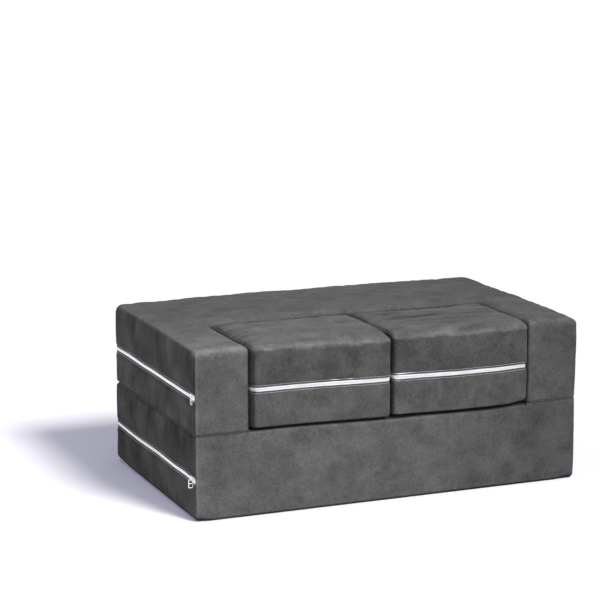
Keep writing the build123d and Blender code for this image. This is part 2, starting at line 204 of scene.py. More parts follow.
def settle(points, distance, rounds=14):
    """Moves points onto the skin of a form, and gives the way out of it at each."""
    step = 0.02 * mm
    for turn in range(rounds):
        slope = np.stack([(distance(points + way) - distance(points - way)) / (2 * step)
                          for way in np.eye(3) * step], 1)
        size = np.maximum((slope**2).sum(1), 0.3)
        if turn < rounds - 1:
            points = points - slope * (distance(points) / size)[:, None]
    return points, slope / np.linalg.norm(slope, axis=1)[:, None]


def settled_skin(lines, filled, form):
    """A block's grid moved onto its form: points, faces and the way out at each point."""
    points, faces = block_skin(lines, filled)
    points, out = settle(points, form)
    return points, faces, out


def even_lines(*marks):
    """Evenly spaced grid lines for the coarse cloth, which also meet each of the marks."""
    lines = [marks[0]]
    for start, end in zip(marks, marks[1:]):
        lines += list(np.linspace(start, end, max(1, round((end - start) / cloth_spacing)) + 1)[1:])
    return np.array(lines)


def filled_out(lines, filled, form, held, cap):
    """How far the filling pushes the cover out: pressed cloth, held along its seams.

    The cloth is a coarse copy of the cover, cut a little too large, so that it swells and ripples
    between its seams. Gives a function from points to the movement of the cloth there."""
    points, faces, out = settled_skin(lines, filled, form)
    cover = skin_object("cover_cloth", points, faces)
    grip = cover.vertex_groups.new(name="held")
    grip.add(np.nonzero(held(points, out))[0].tolist(), 1.0, "REPLACE")
    cloth = cover.modifiers.new("filling", "CLOTH").settings
    set_all(cloth, quality=4, mass=0.2, tension_stiffness=22, compression_stiffness=22,
            shear_stiffness=6, bending_stiffness=0.6, use_pressure=True,
            uniform_pressure_force=4, shrink_min=-0.012, vertex_group_mass="held")
    cloth.effector_weights.gravity = 0
    for number in range(1, cloth_frames + 1):
        scene.frame_set(number)
    shape = cover.evaluated_get(bpy.context.evaluated_depsgraph_get()).data
    moved = np.zeros(len(points) * 3)
    shape.vertices.foreach_get("co", moved)
    moved = ((moved.reshape(-1, 3) - points) * out).sum(1)
    moved = cap * np.tanh(moved / cap)
    tree = kdtree.KDTree(len(points))
    for number, point in enumerate(points):
        tree.insert(point, number)
    tree.balance()
    bpy.data.objects.remove(cover)
    scene.frame_set(1)

    def push(places, ways):
        near = [tree.find_n(place, 12) for place in places]
        number = np.array([[k for _, k, _ in row] for row in near])
        gap = np.array([[d for _, _, d in row] for row in near])
        along = (ways[:, None] * out[number]).sum(2)
        weight = np.maximum(along, 0)**2 * bell(gap, cloth_blur) + 1e-12
        return (weight * moved[number]).sum(1) / weight.sum(1)

    return push


def zipper_dent(height, spread):
    """How far a sewn-in zipper draws the cover in: a valley with a slot along its middle."""
    h = abs(height)
    lip = zipper_slot + (slider_slot - zipper_slot) * spread
    valley = 1.4 * mm * (1 - ramp(h, 10.8 * mm, 22 * mm))
    slot = 4.8 * mm * (1 - ramp_from(lip, h, -0.4, 0.3))
    folded_lip = 0.6 * mm * bell(h - lip - 1.3 * mm, 0.9 * mm)
    stitched_groove = 0.6 * mm * bell(h - stitch_height, 0.8 * mm)
    puff = 1.0 * mm * bell(h - 17 * mm, 6 * mm)
    return valley + slot - folded_lip + stitched_groove - puff


def away_from(points, x, y):
    """How far points lie from an upright line."""
    return np.hypot(points[:, 0] - x, points[:, 1] - y)


def seam_lines(points, out, top_edge, floor_edge, corners=()):
    """The sewn edges: a narrow crease where two panels meet, and the ridge of its allowance."""
    tilt = np.arctan2(out[:, 2], np.hypot(out[:, 0], out[:, 1]))
    radius = np.where(tilt > 0, top_edge(points[:, 0], points[:, 1]),
                      floor_edge(points[:, 0], points[:, 1]))
    across = radius * (abs(tilt) - math.pi / 4)
    crease = seam_depth * bell(across, seam_width) * (radius > 3 * mm)
    for corner in corners:
        away = away_from(points, *corner)
        crease = np.maximum(crease, 0.6 * mm * bell(away, 2.4 * mm))
        crease = crease - 0.3 * mm * bell(away - seam_ridge, 2 * mm)
    return crease


def painted_corner_shade(points, out):
    """1 on the front right and the back left corners, where shade is painted as they turn away."""
    front_right = away_from(points, base_high.x, base_low.y) < 9 * mm
    back_left = ramp(-out[:, 0], 0.1, 0.5) * ramp(out[:, 1], 0.05, 0.4)
    return front_right * ramp(out[:, 0], 0.2, 0.6) + back_left


def corner_shade_and_highlight(points):
    """The sewn left front corner: painted shade in the seam, and a painted highlight beside it."""
    away = away_from(points, base_low.x, base_low.y)
    return 0.22 * bell(away - 5.5 * mm, 3 * mm) - 0.18 * bell(away, 2.8 * mm)


def belongs(piece, body, slot, *packed):
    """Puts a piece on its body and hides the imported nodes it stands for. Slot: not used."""
    if packed:
        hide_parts(*packed)
    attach(piece, body)


def placed(name, data):
    """An object at the origin with this mesh or other data."""
    piece = bpy.data.objects.new(name, data)
    scene.collection.objects.link(piece)
    return piece


def skin_object(name, points, faces, nap_and_painted_light=None):
    """A smooth mesh object. Its microsuede's tone, where 1 is plain, holds random patches of
    the pile and painted light and painted shade.
    """
    mesh = bpy.data.meshes.new(name)
    mesh.from_pydata(points.tolist(), [], faces.tolist())
    if nap_and_painted_light is not None:
        mesh.materials.append(microsuede_cover)
        mesh.attributes.new("nap_and_painted_light", "FLOAT", "POINT").data.foreach_set("value", nap_and_painted_light)
    mesh.polygons.foreach_set("use_smooth", [True] * len(mesh.polygons))
    mesh.update()
    return placed(name, mesh)


def make_cushion(name, body, points, faces, nap_and_painted_light, fill, *foam):
    """A filled cover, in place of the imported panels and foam."""
    cushion = skin_object(f"{name}_cushion", points, faces, nap_and_painted_light)
    belongs(cushion, body, "cover_fabric", f"{name}_cover_top_panel", f"{name}_cover_side_band",
            f"{name}_cover_bottom_panel", *foam)
    return cushion


def plugged(tree, target, sockets):
    """Gives each of these sockets a value, or a link from another node's output."""
    for key, value in dict(sockets).items():
        if isinstance(value, bpy.types.NodeSocket):
            tree.links.new(value, target.inputs[key])
        else:
            target.inputs[key].default_value = value


def node(tree, kind, sockets=(), out=0, **settings):
    """Adds a node and gives one of its outputs."""
    made = tree.nodes.new(kind)
    set_all(made, **settings)
    plugged(tree, made, sockets)
    return made.outputs[out]


def finish(name, look):
    """A new material, whose look adds nodes and gives the values of the shader's sockets."""
    material = bpy.data.materials.new(name)
    material.use_nodes = True
    tree = material.node_tree
    plugged(tree, tree.nodes["Principled BSDF"], look(tree))
    return material


def clouds(tree, place, size, detail, rough=0.5, twist=0.0):
    """Noise in patches about as wide as the size."""
    return node(tree, "ShaderNodeTexNoise", {"Vector": place, "Scale": 1 / size, "Detail": detail,
                                             "Roughness": rough, "Distortion": twist})


def two_tones(tree, source, dark, light, start=0.0, end=1.0):
    """A colour that goes from dark to light as its source goes from the start to the end."""
    shades = node(tree, "ShaderNodeValToRGB", {"Fac": source})
    for stop, place, tone in zip(shades.node.color_ramp.elements, (start, end), (dark, light)):
        stop.position = place
        stop.color = (*tone, 1)
    return shades


def relief(tree, height, strength, depth, below=None):
    """The normal of a surface that is raised by this height, over the relief below."""
    sockets = {"Height": height, "Strength": strength, "Distance": depth}
    return node(tree, "ShaderNodeBump", {**sockets, "Normal": below} if below else sockets)


def microsuede(tree):
    """Brushed polyester microsuede: a short pile in grey patches, with painted light and shade."""
    place = node(tree, "ShaderNodeTexCoord", out="Object")

    def noise_at(size, detail, rough, twist, stretch=(1, 1, 1)):
        turn = node(tree, "ShaderNodeMapping", {"Vector": place, "Scale": stretch})
        return clouds(tree, turn, size, detail, rough, twist)

    def mixed(first, second, share):
        return node(tree, "ShaderNodeMix", {0: share, 2: first, 3: second})

    patches = noise_at(60 * mm, 6, 0.62, 0.6, (1, 1, 1.1))
    streaks = noise_at(22 * mm, 3, 0.6, 0.3, (1, 1, 0.45))
    mottle = noise_at(6 * mm, 3, 0.7, 0.4)
    nap_and_painted_light = noise_at(1.1 * mm, 2, 0.7, 0.0)
    shades = two_tones(tree, mixed(mixed(patches, streaks, 0.22), mottle, 0.42),
                       (0.056, 0.056, 0.056), (0.126, 0.126, 0.125), 0.36, 0.63)
    fibre = two_tones(tree, nap_and_painted_light, (0.72, 0.72, 0.72), (1.12, 1.12, 1.12), 0.3, 0.65)
    grain = node(tree, "ShaderNodeMix", {0: 0.35, 6: shades, 7: fibre}, 2, data_type="RGBA",
                 blend_type="MULTIPLY")
    # The cushion's tone: random patches of the pile, with painted light and painted shade.
    pile_and_painted_light = node(tree, "ShaderNodeAttribute", out="Fac", attribute_name="nap_and_painted_light")
    # The colour scaled by that tone, so it carries the painted light and shade.
    brushed = node(tree, "ShaderNodeVectorMath", {0: grain, "Scale": pile_and_painted_light}, operation="SCALE")
    pile = relief(tree, nap_and_painted_light, 0.35, 0.12 * mm)
    rumple = relief(tree, mixed(streaks, mottle, 0.5), 0.5, 0.9 * mm, pile)
    return {"Base Color": brushed, "Normal": rumple, "Roughness": 0.95, "Specular IOR Level": 0.12,
            "Sheen Weight": 0.08, "Sheen Roughness": 0.45, "Sheen Tint": (1.0, 1.0, 1.0, 1.0)}


def beside_slider(name, y):
    """1 where a slider holds the lips of its slot apart, and 0 elsewhere."""
    low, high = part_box(f"{name}_zipper_slider")
    return ramp_from(low.y, y, -10, -1) * (1 - ramp_from(high.y, y, 1, 10))


def left_and_back(x, y):
    """1 where the zipper of the base or the top section runs: the left end and the back."""
    outer = (x < base_low.x + 45 * mm) | (y > base_high.y - 45 * mm)
    return outer * ramp_from(zipper_start, y, -2, 0.5) * (1 - ramp_from(zipper_end, x, -1, 2))


def base_plan(x, y, z):
    """The base and the top section from above: the left front corner is rounder at the floor."""
    near_floor = (1 - ramp_from(base_low.z, z, 8, 60)) * (x < 0)
    return rounded_plan(x, y, base_middle, base_half, sewn_corner + 10 * mm * near_floor,
                        back_corner)


def between_arms(x):
    """1 under the ottomans and 0 under the arms."""
    return 1 - ramp_from(recess_half, abs(x), -6, 2)


def over_front(y):
    """1 along the base's front edge and 0 behind it, where the seat is firm."""
    return 1 - ramp_from(base_low.y, y, 10, 60)


def base_top(x, y):
    """Flat under the arms, and pressed down in front by the ottomans, more toward the right."""
    front = over_front(y)
    sag = front * (5 * mm * ramp(x, -0.26, 0.0) + 3 * mm * ramp(x, 0.08, 0.26)
                   - 5 * mm * ramp(x, 0.26, 0.37))
    return base_high.z - (3.0 * mm * front + sag) * between_arms(x)


def base_top_radius(x, y):
    front_edge = front_hinge_edge + (base_top_edge - front_hinge_edge) * between_arms(x)
    return np.where(y < base_low.y + 9 * mm, front_edge, base_top_edge)


def base_floor_radius(x, y):
    left_end = 1 - ramp_from(base_low.x, x, 12, 40)
    back = ramp_from(base_high.y, y, -110, -30)
    right_end = ramp_from(base_high.x, x, -60, -20)
    return base_floor_edge + (7 * mm + 6 * mm * back) * left_end + 5 * mm * right_end


def pull_room(points, height):
    """1 on the left end where the pull of a zipper hangs and travels."""
    x, y, z = points.T
    return ((x < base_low.x + 30 * mm) * ramp_from(height, z, -60, -34)
            * (1 - ramp_from(height, z, 12, 40)))


def zipper_wave(points, height, seed):
    """How far a long zipper wanders up and down, sewn a little unevenly."""
    x, y, z = points.T
    level = points * (1, 1, 0)
    return (1.1 * mm * wander(level, 0.13, seed) * ramp_from(base_low.y, y, 40, 90)
            * bell(z - height, 45 * mm))


def by_zipper(points, height):
    """Where the tapes of the base's or the top section's zipper hold the cover."""
    return ((abs(points[:, 2] - height) < held_by_zipper)
            & (left_and_back(points[:, 0], points[:, 1]) > 0.5))


def filled_sides(points, floor, height, seed):
    """How the foam rounds out upright sides: a crown across them, with swells and ripples."""
    across = np.sin(math.pi * np.clip((points[:, 2] - floor) / height, 0, 1))
    return (0.9 * mm * across + 0.5 * mm * wander(points, 0.11, seed)
            + 0.22 * mm * wander(points, (0.02, 0.02, 0.06), seed + 1))


def sewn_block(name, points, out, sides, swell, height, top_edge, floor_edge, ends, seed):
    """The skin of the base or the top section, with its swell, its zipper and its seams."""
    x, y, z = points.T
    swell = swell * (1 - 0.9 * pull_room(points, height))
    swell -= zipper_dent(z - height, beside_slider(name, y)) * left_and_back(x, y)
    swell -= seam_lines(points, out, top_edge, floor_edge, front_corners)
    points = points + out * swell[:, None]
    points[:, 2] = np.clip(points[:, 2], *ends)
    points[:, 2] += zipper_wave(points, height, seed) * sides
    return points


def upright(out):
    """1 on the sides of a block, and 0 on its top and its floor."""
    return 1 - ramp(abs(out[:, 2]), 0.1, 0.6)


def end_patches(points, seed):
    """Unevenly brushed patches on the left end of the base or the top section."""
    return 0.07 * wander(points, (0.055, 0.055, 0.075), seed)


microsuede_cover = finish("charcoal_microsuede", microsuede)
base_wave_seed = 7
base_form = block_form(base_plan, base_low.z, base_top, base_floor_radius, base_top_radius)
front_corners = [(base_low.x, base_low.y), (base_high.x, base_low.y)]
arm_marks = [(side * recess_half, [0, 2, 4, 7]) for side in (-1, 1)]
points, faces, out = settled_skin(
    [grid_lines(base_low.x, base_high.x, 9 * mm, arm_marks),
     grid_lines(base_low.y, base_high.y, 9 * mm),
     grid_lines(base_low.z, base_high.z, 7 * mm, [(base_zipper_height, zipper_steps)])],
    whole, base_form)
out_x, out_y, out_z = out.T
sides = upright(out)
swell = sides * filled_sides(points, base_low.z, base_high.z, 3)
cloth = filled_out(
    [even_lines(*ends) for ends in zip(base_low, base_high)], whole, base_form,
    lambda p, way: ((abs(way[:, 2]) > 0.4) | (abs(way[:, 0] * way[:, 1]) > 0.1)
                    | by_zipper(p, base_zipper_height)), 3 * mm)
swell += cloth(points, out) * (1 - ramp(abs(out_z), 0.4, 0.8))
points = sewn_block("base", points, out, sides, swell, base_zipper_height, base_top_radius,
                    base_floor_radius, (base_low.z, base_high.z), base_wave_seed)
x, y, z = points.T
# Painted shade: the base's left end darker than its front, and the front darker toward the right.
left_end = ramp(-out_x, 0.4, 0.9)
nap_and_painted_light = 0.91 - 0.62 * left_end - 0.28 * ramp(x, 0.02, 0.5)
# Painted shade on the underside and the rounded floor edge.
nap_and_painted_light *= 1 - 0.85 * ramp(-out_z, 0.05, 0.4)
# Painted shade along the top of the base's front, in the crease under the arms.
shade_under_arms = bell(z - base_high.z, 2.2 * mm) * ramp(-out_y, 0.1, 0.4) * (1 - between_arms(x))
nap_and_painted_light *= 1 - 0.55 * shade_under_arms
# Where shade is painted on the base's top, in the gap under the ottomans' fronts.
shade_under_ottomans = ramp(out_z, 0.8, 0.97) * between_arms(x) * ramp_from(base_low.y, y, 5, 9)
# A painted highlight on the base's front top edge, under the ottomans.
ridge = bell(out_z - 0.75, 0.25) * ramp(-out_y, 0.2, 0.5) * between_arms(x)
nap_and_painted_light += 0.28 * ridge * (1 - 0.6 * ramp(x, 0.0, 0.2))
# Painted shade on the base's top, in the gap under the ottomans' fronts.
nap_and_painted_light -= 0.45 * shade_under_ottomans * (1 - ramp_from(base_low.y, y, 50, 90))
# Random tones, the left end lighter below its zipper, and painted shade and a painted highlight at the
# left front corner.
nap_and_painted_light += (0.05 * wander(points, 0.05, 5) + corner_shade_and_highlight(points)
        + left_end * (end_patches(points, 6) + 0.07 * (z < base_zipper_height)))
# Painted shade on the front right and back left corners.
nap_and_painted_light *= 1 - 0.45 * painted_corner_shade(points, out)
base_cushion = make_cushion("base", "base", points, faces, nap_and_painted_light, 0.95, "base_foam_core")
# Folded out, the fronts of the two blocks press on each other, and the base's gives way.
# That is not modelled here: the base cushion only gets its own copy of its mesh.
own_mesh(base_cushion)


# Base zipper: a white nylon coil zipper sewn into the side band, up the left end and along the
# back. Its two woven tapes are stitched under the folded lips of the cover, and its coil is
# two rows of bent monofilament that lock into each other.
tape_in = 2.5 * mm  # from the cover's face in to the middle of the tape
coil_pitch = 1.5 * mm
tape_section = [(-0.4, 2.3), (0.0, 2.15), (0.4, 2.3), (0.55, 3.0), (0.4, 3.6), (0.4, 5.2),
                (0.34, 7.0), (0.4, 9.6), (0.0, 10.0), (-0.4, 9.6), (-0.4, 6.0)]  # in mm
path_spacing = 12 * mm


def rounded_path(corners, radii, spacing):
    """Points along a line with rounded square corners, about as far apart as the spacing."""
    corners = [np.array(corner, float) for corner in corners]
    points = [corners[0]]

    def straight_to(end):
        gap = end - points[-1]
        count = max(1, round(np.linalg.norm(gap) / spacing))
        points.extend([points[-1] + gap * s / count for s in range(1, count + 1)])

    for before, corner, after, radius in zip(corners, corners[1:], corners[2:], radii):
        enter = (corner - before) / np.linalg.norm(corner - before)
        leave = (after - corner) / np.linalg.norm(after - corner)
        centre = corner - radius * enter + radius * leave
        straight_to(corner - radius * enter)
        points.extend([centre + radius * (enter * math.sin(a) - leave * math.cos(a))
                       for a in np.linspace(0, math.pi / 2, 11)[1:]])
    straight_to(corners[-1])
    return np.array(points)


def outward(path):
    """The way out of the cover at each point of a path that keeps the cushion on its right."""
    travel = np.gradient(path, axis=0)
    travel /= np.linalg.norm(travel, axis=1)[:, None]
    return np.stack([-travel[:, 1], travel[:, 0]], 1)


def closed_piece(name, points, faces, material):
    """A mesh object whose faces all point outwards."""
    mesh = bpy.data.meshes.new(name)
    mesh.from_pydata(points, [], faces)
    shape = bmesh.new()
    shape.from_mesh(mesh)
    bmesh.ops.recalc_face_normals(shape, faces=shape.faces)
    shape.to_mesh(mesh)
    shape.free()
    mesh.materials.append(material)
    return placed(name, mesh)


def tube_faces(stations, sides):
    """Quads round a tube, between its rings of so many sides."""
    return [(s * sides + k, s * sides + (k + 1) % sides, (s + 1) * sides + (k + 1) % sides,
             (s + 1) * sides + k) for s in range(stations - 1) for k in range(sides)]


def swept_band(name, path, height, section, material):
    """A closed band along a path, with a UV map in metres along it and round it."""
    out = outward(path)
    ring = np.array(section) * mm
    stations, sides = len(path), len(ring)
    points = np.zeros((stations, sides, 3))
    points[..., :2] = path[:, None] + out[:, None] * ring[None, :, :1]
    points[..., 2] = height[:, None] + ring[None, :, 1]
    ends = [list(range(sides))[::-1], [(stations - 1) * sides + i for i in range(sides)]]
    band = closed_piece(name, points.reshape(-1, 3).tolist(), tube_faces(stations, sides) + ends,
                        material)
    along = np.concatenate([[0], np.cumsum(np.linalg.norm(np.diff(path, axis=0), axis=1))])
    vertex = np.zeros(len(band.data.loops), int)
    band.data.loops.foreach_get("vertex_index", vertex)
    spread = np.stack([along[vertex // sides], ring[vertex % sides, 1]], 1)
    band.data.uv_layers.new(name="weave").data.foreach_set("uv", spread.ravel())
    return band


def woven(tree, place, rib, twist, dark, light, strength, depth):
    """The fine ribs of a weave, in tone and in relief."""
    ribs = node(tree, "ShaderNodeTexWave", {
        "Vector": place, "Scale": 1 / rib / math.pi, "Distortion": twist}, "Fac")
    return {"Base Color": two_tones(tree, ribs, dark, light),
            "Normal": relief(tree, ribs, strength, depth)}


def woven_tape(tree):
    """White polyester tape, woven in fine ribs that slant to and fro across its width."""
    slant = node(tree, "ShaderNodeMapping", {
        "Vector": node(tree, "ShaderNodeUVMap", uv_map="weave"),
        "Rotation": (0, 0, math.radians(38))})
    return {"Roughness": 0.8, "Sheen Weight": 0.6, **woven(
        tree, slant, 2.1 * mm, 0.6, (0.78, 0.78, 0.82), (0.92, 0.92, 0.94), 0.6, 0.12 * mm)}


def nylon(dark, light, size, roughness, gloss):
    """A plain thread or moulded finish with slight changes of tone along it."""
    def look(tree):
        cloud = clouds(tree, node(tree, "ShaderNodeTexCoord", out="Object"), size, 3)
        return {"Base Color": two_tones(tree, cloud, dark, light, 0.3, 0.7),
                "Normal": relief(tree, cloud, 0.3, 0.08 * mm),
                "Roughness": roughness, "Specular IOR Level": gloss}

    return look


def placed_along(tree, line, shape, spacing, shift=0.0, lift=0.0):
    """Sets a shape along a line, turned to follow it, shifted along it and lifted."""
    steps = node(tree, "GeometryNodeResampleCurve", {"Curve": line, "Length": spacing},
                 mode="LENGTH")
    tangent = node(tree, "GeometryNodeInputTangent")
    slide = node(tree, "ShaderNodeVectorMath", {0: tangent, "Scale": shift}, operation="SCALE")
    total = node(tree, "ShaderNodeVectorMath", {
        0: slide, 1: node(tree, "ShaderNodeCombineXYZ", {"Z": lift})})
    move = node(tree, "GeometryNodeSetPosition", {"Geometry": steps, "Offset": total})
    face = node(tree, "FunctionNodeAlignRotationToVector", {"Vector": tangent}, axis="X",
                pivot_axis="Z")
    return node(tree, "GeometryNodeInstanceOnPoints", {
        "Points": move, "Instance": shape, "Rotation": face})


def scaled(tree, value, factor):
    """A value times a factor."""
    return node(tree, "ShaderNodeMath", {0: value, 1: factor}, operation="MULTIPLY")


def row_tree(name, inputs, rows):
    """A Geometry Nodes tree with these inputs, which sets rows of copies along its lines."""
    tree = bpy.data.node_groups.new(name, "GeometryNodeTree")
    for label in ("Geometry", *inputs, "Material"):
        kind = label if label in ("Geometry", "Material") else "Float"
        tree.interface.new_socket(label, in_out="INPUT", socket_type="NodeSocket" + kind)
    tree.interface.new_socket("Geometry", in_out="OUTPUT", socket_type="NodeSocketGeometry")
    given = tree.nodes.new("NodeGroupInput").outputs
    join = tree.nodes.new("GeometryNodeJoinGeometry")
    for row in rows(tree, given):
        tree.links.new(row, join.inputs["Geometry"])
    real = node(tree, "GeometryNodeRealizeInstances", {"Geometry": join.outputs["Geometry"]})
    painted = node(tree, "GeometryNodeSetMaterial", {
        "Geometry": real, "Material": given["Material"]})
    plugged(tree, tree.nodes.new("NodeGroupOutput"), {"Geometry": painted})
    return tree


def coil_loops(tree, given):
    """The zipper's coil: a bent loop of monofilament, repeated in two rows half a pitch apart."""
    loop = node(tree, "GeometryNodeCurvePrimitiveQuadrilateral", {
        "Width": given["Loop depth"], "Height": given["Loop width"]})
    bend = node(tree, "GeometryNodeFilletCurve", {
        "Curve": loop, "Count": 1, "Radius": scaled(tree, given["Loop depth"], 0.42)}, mode="POLY")
    wire = node(tree, "GeometryNodeCurvePrimitiveCircle", {
        "Resolution": 4, "Radius": given["Wire radius"]})
    tube = node(tree, "GeometryNodeCurveToMesh", {"Curve": bend, "Profile Curve": wire})
    stand = node(tree, "GeometryNodeTransform", {
        "Geometry": tube, "Rotation": (math.radians(90), 0, math.radians(90))})
    for side in (1, -1):
        lean = node(tree, "GeometryNodeTransform", {
            "Geometry": stand, "Rotation": (0, side * math.radians(12), 0)})
        yield placed_along(tree, given["Geometry"], lean, given["Pitch"],
                           scaled(tree, given["Pitch"], side / 4),
                           scaled(tree, given["Row height"], side))


def stitches(tree, given):
    """A row of topstitches: short plump threads, one after the other."""
    thread = node(tree, "GeometryNodeMeshUVSphere", {"Segments": 6, "Rings": 4, "Radius": 0.5})
    size = node(tree, "ShaderNodeCombineXYZ", {
        "X": given["Length"], "Y": given["Thickness"], "Z": given["Thickness"]})
    draw = node(tree, "GeometryNodeTransform", {"Geometry": thread, "Scale": size})
    yield placed_along(tree, given["Geometry"], draw, given["Spacing"])


def made_along(name, lines, tree, values):
    """Runs a tree on one or more lines, and gives the result as a plain mesh object."""
    curve = bpy.data.curves.new(name + "_lines", "CURVE")
    curve.dimensions = "3D"
    for line in lines:
        spline = curve.splines.new("POLY")
        spline.points.add(len(line) - 1)
        spline.points.foreach_set("co", np.column_stack([line, np.ones(len(line))]).ravel())
    guide = placed(name + "_lines", curve)
    modifier = guide.modifiers.new("made_along", "NODES")
    modifier.node_group = tree
    for item in tree.interface.items_tree:
        if item.item_type == "SOCKET" and item.in_out == "INPUT" and item.name in values:
            modifier[item.identifier] = values[item.name]
    graph = bpy.context.evaluated_depsgraph_get()
    mesh = bpy.data.meshes.new_from_object(guide.evaluated_get(graph), depsgraph=graph)
    bpy.data.objects.remove(guide)
    mesh.name = name
    mesh.polygons.foreach_set("use_smooth", [True] * len(mesh.polygons))
    return placed(name, mesh)


def on_the_cover(cushion, path, height, above):
    """Carries a line to the cover's face: each point drops inwards until it meets the cloth."""
    tree = bvhtree.BVHTree.FromPolygons([v.co for v in cushion.data.vertices],
                                        [p.vertices for p in cushion.data.polygons])
    line = []
    for (x, y), (out_x, out_y), z in zip(path, outward(path), height):
        start = Vector((x + out_x * 0.02, y + out_y * 0.02, z))
        hit = tree.ray_cast(start, Vector((-out_x, -out_y, 0)), 0.06)[0]
        line.append((hit.x + out_x * above, hit.y + out_y * above, hit.z))
    return np.array(line)


tape_cloth = finish("white_woven_tape", woven_tape)
coil_nylon = finish("white_nylon_coil", nylon(
    (0.90, 0.90, 0.93), (0.95, 0.95, 0.97), 4 * mm, 0.35, 1.0))
seam_thread = finish("pale_seam_thread", nylon(
    (0.42, 0.42, 0.52), (0.58, 0.58, 0.70), 2 * mm, 0.75, 0.3))
coil_rows = row_tree("coil_rows", (
    "Pitch", "Wire radius", "Loop depth", "Loop width", "Row height"), coil_loops)
stitch_row = row_tree("stitch_row", ("Spacing", "Length", "Thickness"), stitches)


def make_zipper(name, body, cushion, height, shift, path):
    """Tapes, coil and topstitching of one zipper.

    The path gives its line so far inside the cover's face, and the shift says how far the sewn
    cover carries it up or down."""
    def level(line):
        return height + shift(np.column_stack([line, np.full(len(line), height)]))

    face, inside = path(0), path(tape_in)
    for part, side in (("upper", 1), ("lower", -1)):
        section = [(out, side * up) for out, up in tape_section]
        tape = swept_band(f"{name}_{part}_woven_tape", inside, level(inside), section, tape_cloth)
        belongs(tape, body, "zipper_tape", f"{name}_zipper_{part}_tape")
    line = np.column_stack([inside, level(inside)])
    chain = made_along(f"{name}_coil_chain", [line], coil_rows, {
        "Pitch": coil_pitch, "Wire radius": 0.42 * mm, "Loop depth": 1.7 * mm,
        "Loop width": 2.7 * mm, "Row height": 1.35 * mm, "Material": coil_nylon})
    belongs(chain, body, "zipper_coil", f"{name}_zipper_upper_coil", f"{name}_zipper_lower_coil")
    rows = [on_the_cover(cushion, face, level(face) + side * stitch_height, 0.15 * mm)
            for side in (1, -1)]
    thread = made_along(f"{name}_zipper_topstitches", rows, stitch_row, {
        "Spacing": 3.6 * mm, "Length": 3.4 * mm, "Thickness": 1.0 * mm, "Material": seam_thread})
    belongs(thread, body, "cover_fabric")


def left_and_back_zipper(name, body, cushion, height, seed):
    """The zipper of the base or the top section, up the left end and along the back."""
    def path(inset):
        left, back = base_low.x + inset, base_high.y - inset
        return rounded_path([(left, zipper_start), (left, back), (zipper_end, back)],
                            [back_corner - inset], path_spacing)

    make_zipper(name, body, cushion, height, lambda p: zipper_wave(p, height, seed), path)


left_and_back_zipper("base", "base", base_cushion, base_zipper_height, base_wave_seed)


# Base slider and pull: die-cast zinc in white enamel. The slider's two wings are held apart by
# a divider, and the pull is a flat frame with two windows that hangs on the slider's bridge.
def white_enamel(tree):
    """White stoving enamel on zinc, greyer in random patches, its edges softened in the shading."""
    wear = clouds(tree, node(tree, "ShaderNodeTexCoord", out="Object"), 2.5 * mm, 4)
    soft = node(tree, "ShaderNodeBevel", {"Radius": 0.3 * mm}, samples=6)
    return {"Base Color": two_tones(tree, wear, (0.66, 0.67, 0.69), (0.88, 0.88, 0.89), 0.28, 0.5),
            "Normal": relief(tree, wear, 0.2, 0.05 * mm, soft),
            "Roughness": 0.3, "Coat Weight": 0.25, "Coat Roughness": 0.15}


enamel = finish("white_enamelled_zinc", white_enamel)


def enamel_zipper_metal(name):
    """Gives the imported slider, pull and end stops of one zipper their enamel."""
    for part in ("slider", "pull", "end_stops"):
        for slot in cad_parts[f"{name}_zipper_{part}"].material_slots:
            slot.material = enamel


enamel_zipper_metal("base")


# Hinge strips: two strips of charcoal polyester webbing, folded between the base and the arms.
# The lower leaf is sewn to the base and the upper leaf to the top section, which turns over
# on the fold until it lies in front of the base.
hinge_leaf = 0.8 * mm


def hinge_webbing(tree):
    """Charcoal webbing, woven in fine cross ribs."""
    return {"Roughness": 0.85, **woven(
        tree, node(tree, "ShaderNodeTexCoord", out="Object"), 1.6 * mm, 0.8,
        (0.030, 0.030, 0.032), (0.085, 0.086, 0.088), 0.5, 0.15 * mm)}


webbing = finish("charcoal_webbing", hinge_webbing)
for side in ("left", "right"):
    low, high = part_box(f"{side}_hinge_strip")
    lower_top, upper_floor = low.z + hinge_leaf, high.z - hinge_leaf
    fold_middle = (lower_top + upper_floor) / 2
    fold_line = low.y + fold_middle - low.z
    bore = (upper_floor - lower_top) / 2
    depths = np.linspace(high.y, fold_line, 6)
    loop = ([(y, low.z) for y in depths] + [(low.y, fold_middle)]
            + [(y, high.z) for y in depths[::-1]] + [(y, upper_floor) for y in depths]
            + [(fold_line - bore, fold_middle)] + [(y, lower_top) for y in depths[::-1]])
    stations = np.linspace(low.x, high.x, 32)
    faces = tube_faces(len(stations), len(loop))
    for start in (0, (len(stations) - 1) * len(loop)):
        outer, inner = range(start, start + 13), range(start + 13, start + 26)
        faces += [(outer[i], outer[i + 1], inner[11 - i], inner[12 - i]) for i in range(12)]
    points = [(x, y, z) for x in stations for y, z in loop]
    strip = closed_piece(f"{side}_hinge_webbing", points, faces, webbing)
    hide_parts(f"{side}_hinge_strip")
    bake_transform(strip)


# Top section: a back and two arms of foam, glued into a U, in one zipped cover of its own.
# Its top is crowned by the filling, and the arms' inner edges are rounder than the outer ones.
top_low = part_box("top_cover_bottom_panel")[0]
top_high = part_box("top_cover_top_panel")[1]
top_zipper_height = zipper_level("top")
top_wave_seed = 19
crown_along = 5 * mm
crown_across = 2.5 * mm
top_corner_height = top_high.z - crown_along - crown_across
recess_depth = 270 * mm
recess_corner = 6 * mm
recess_mouth_radius = 5 * mm
top_edge_radius = 10 * mm
arm_inner_radius = 20 * mm
recess_back = base_low.y + recess_depth
recess_reach = 300 * mm


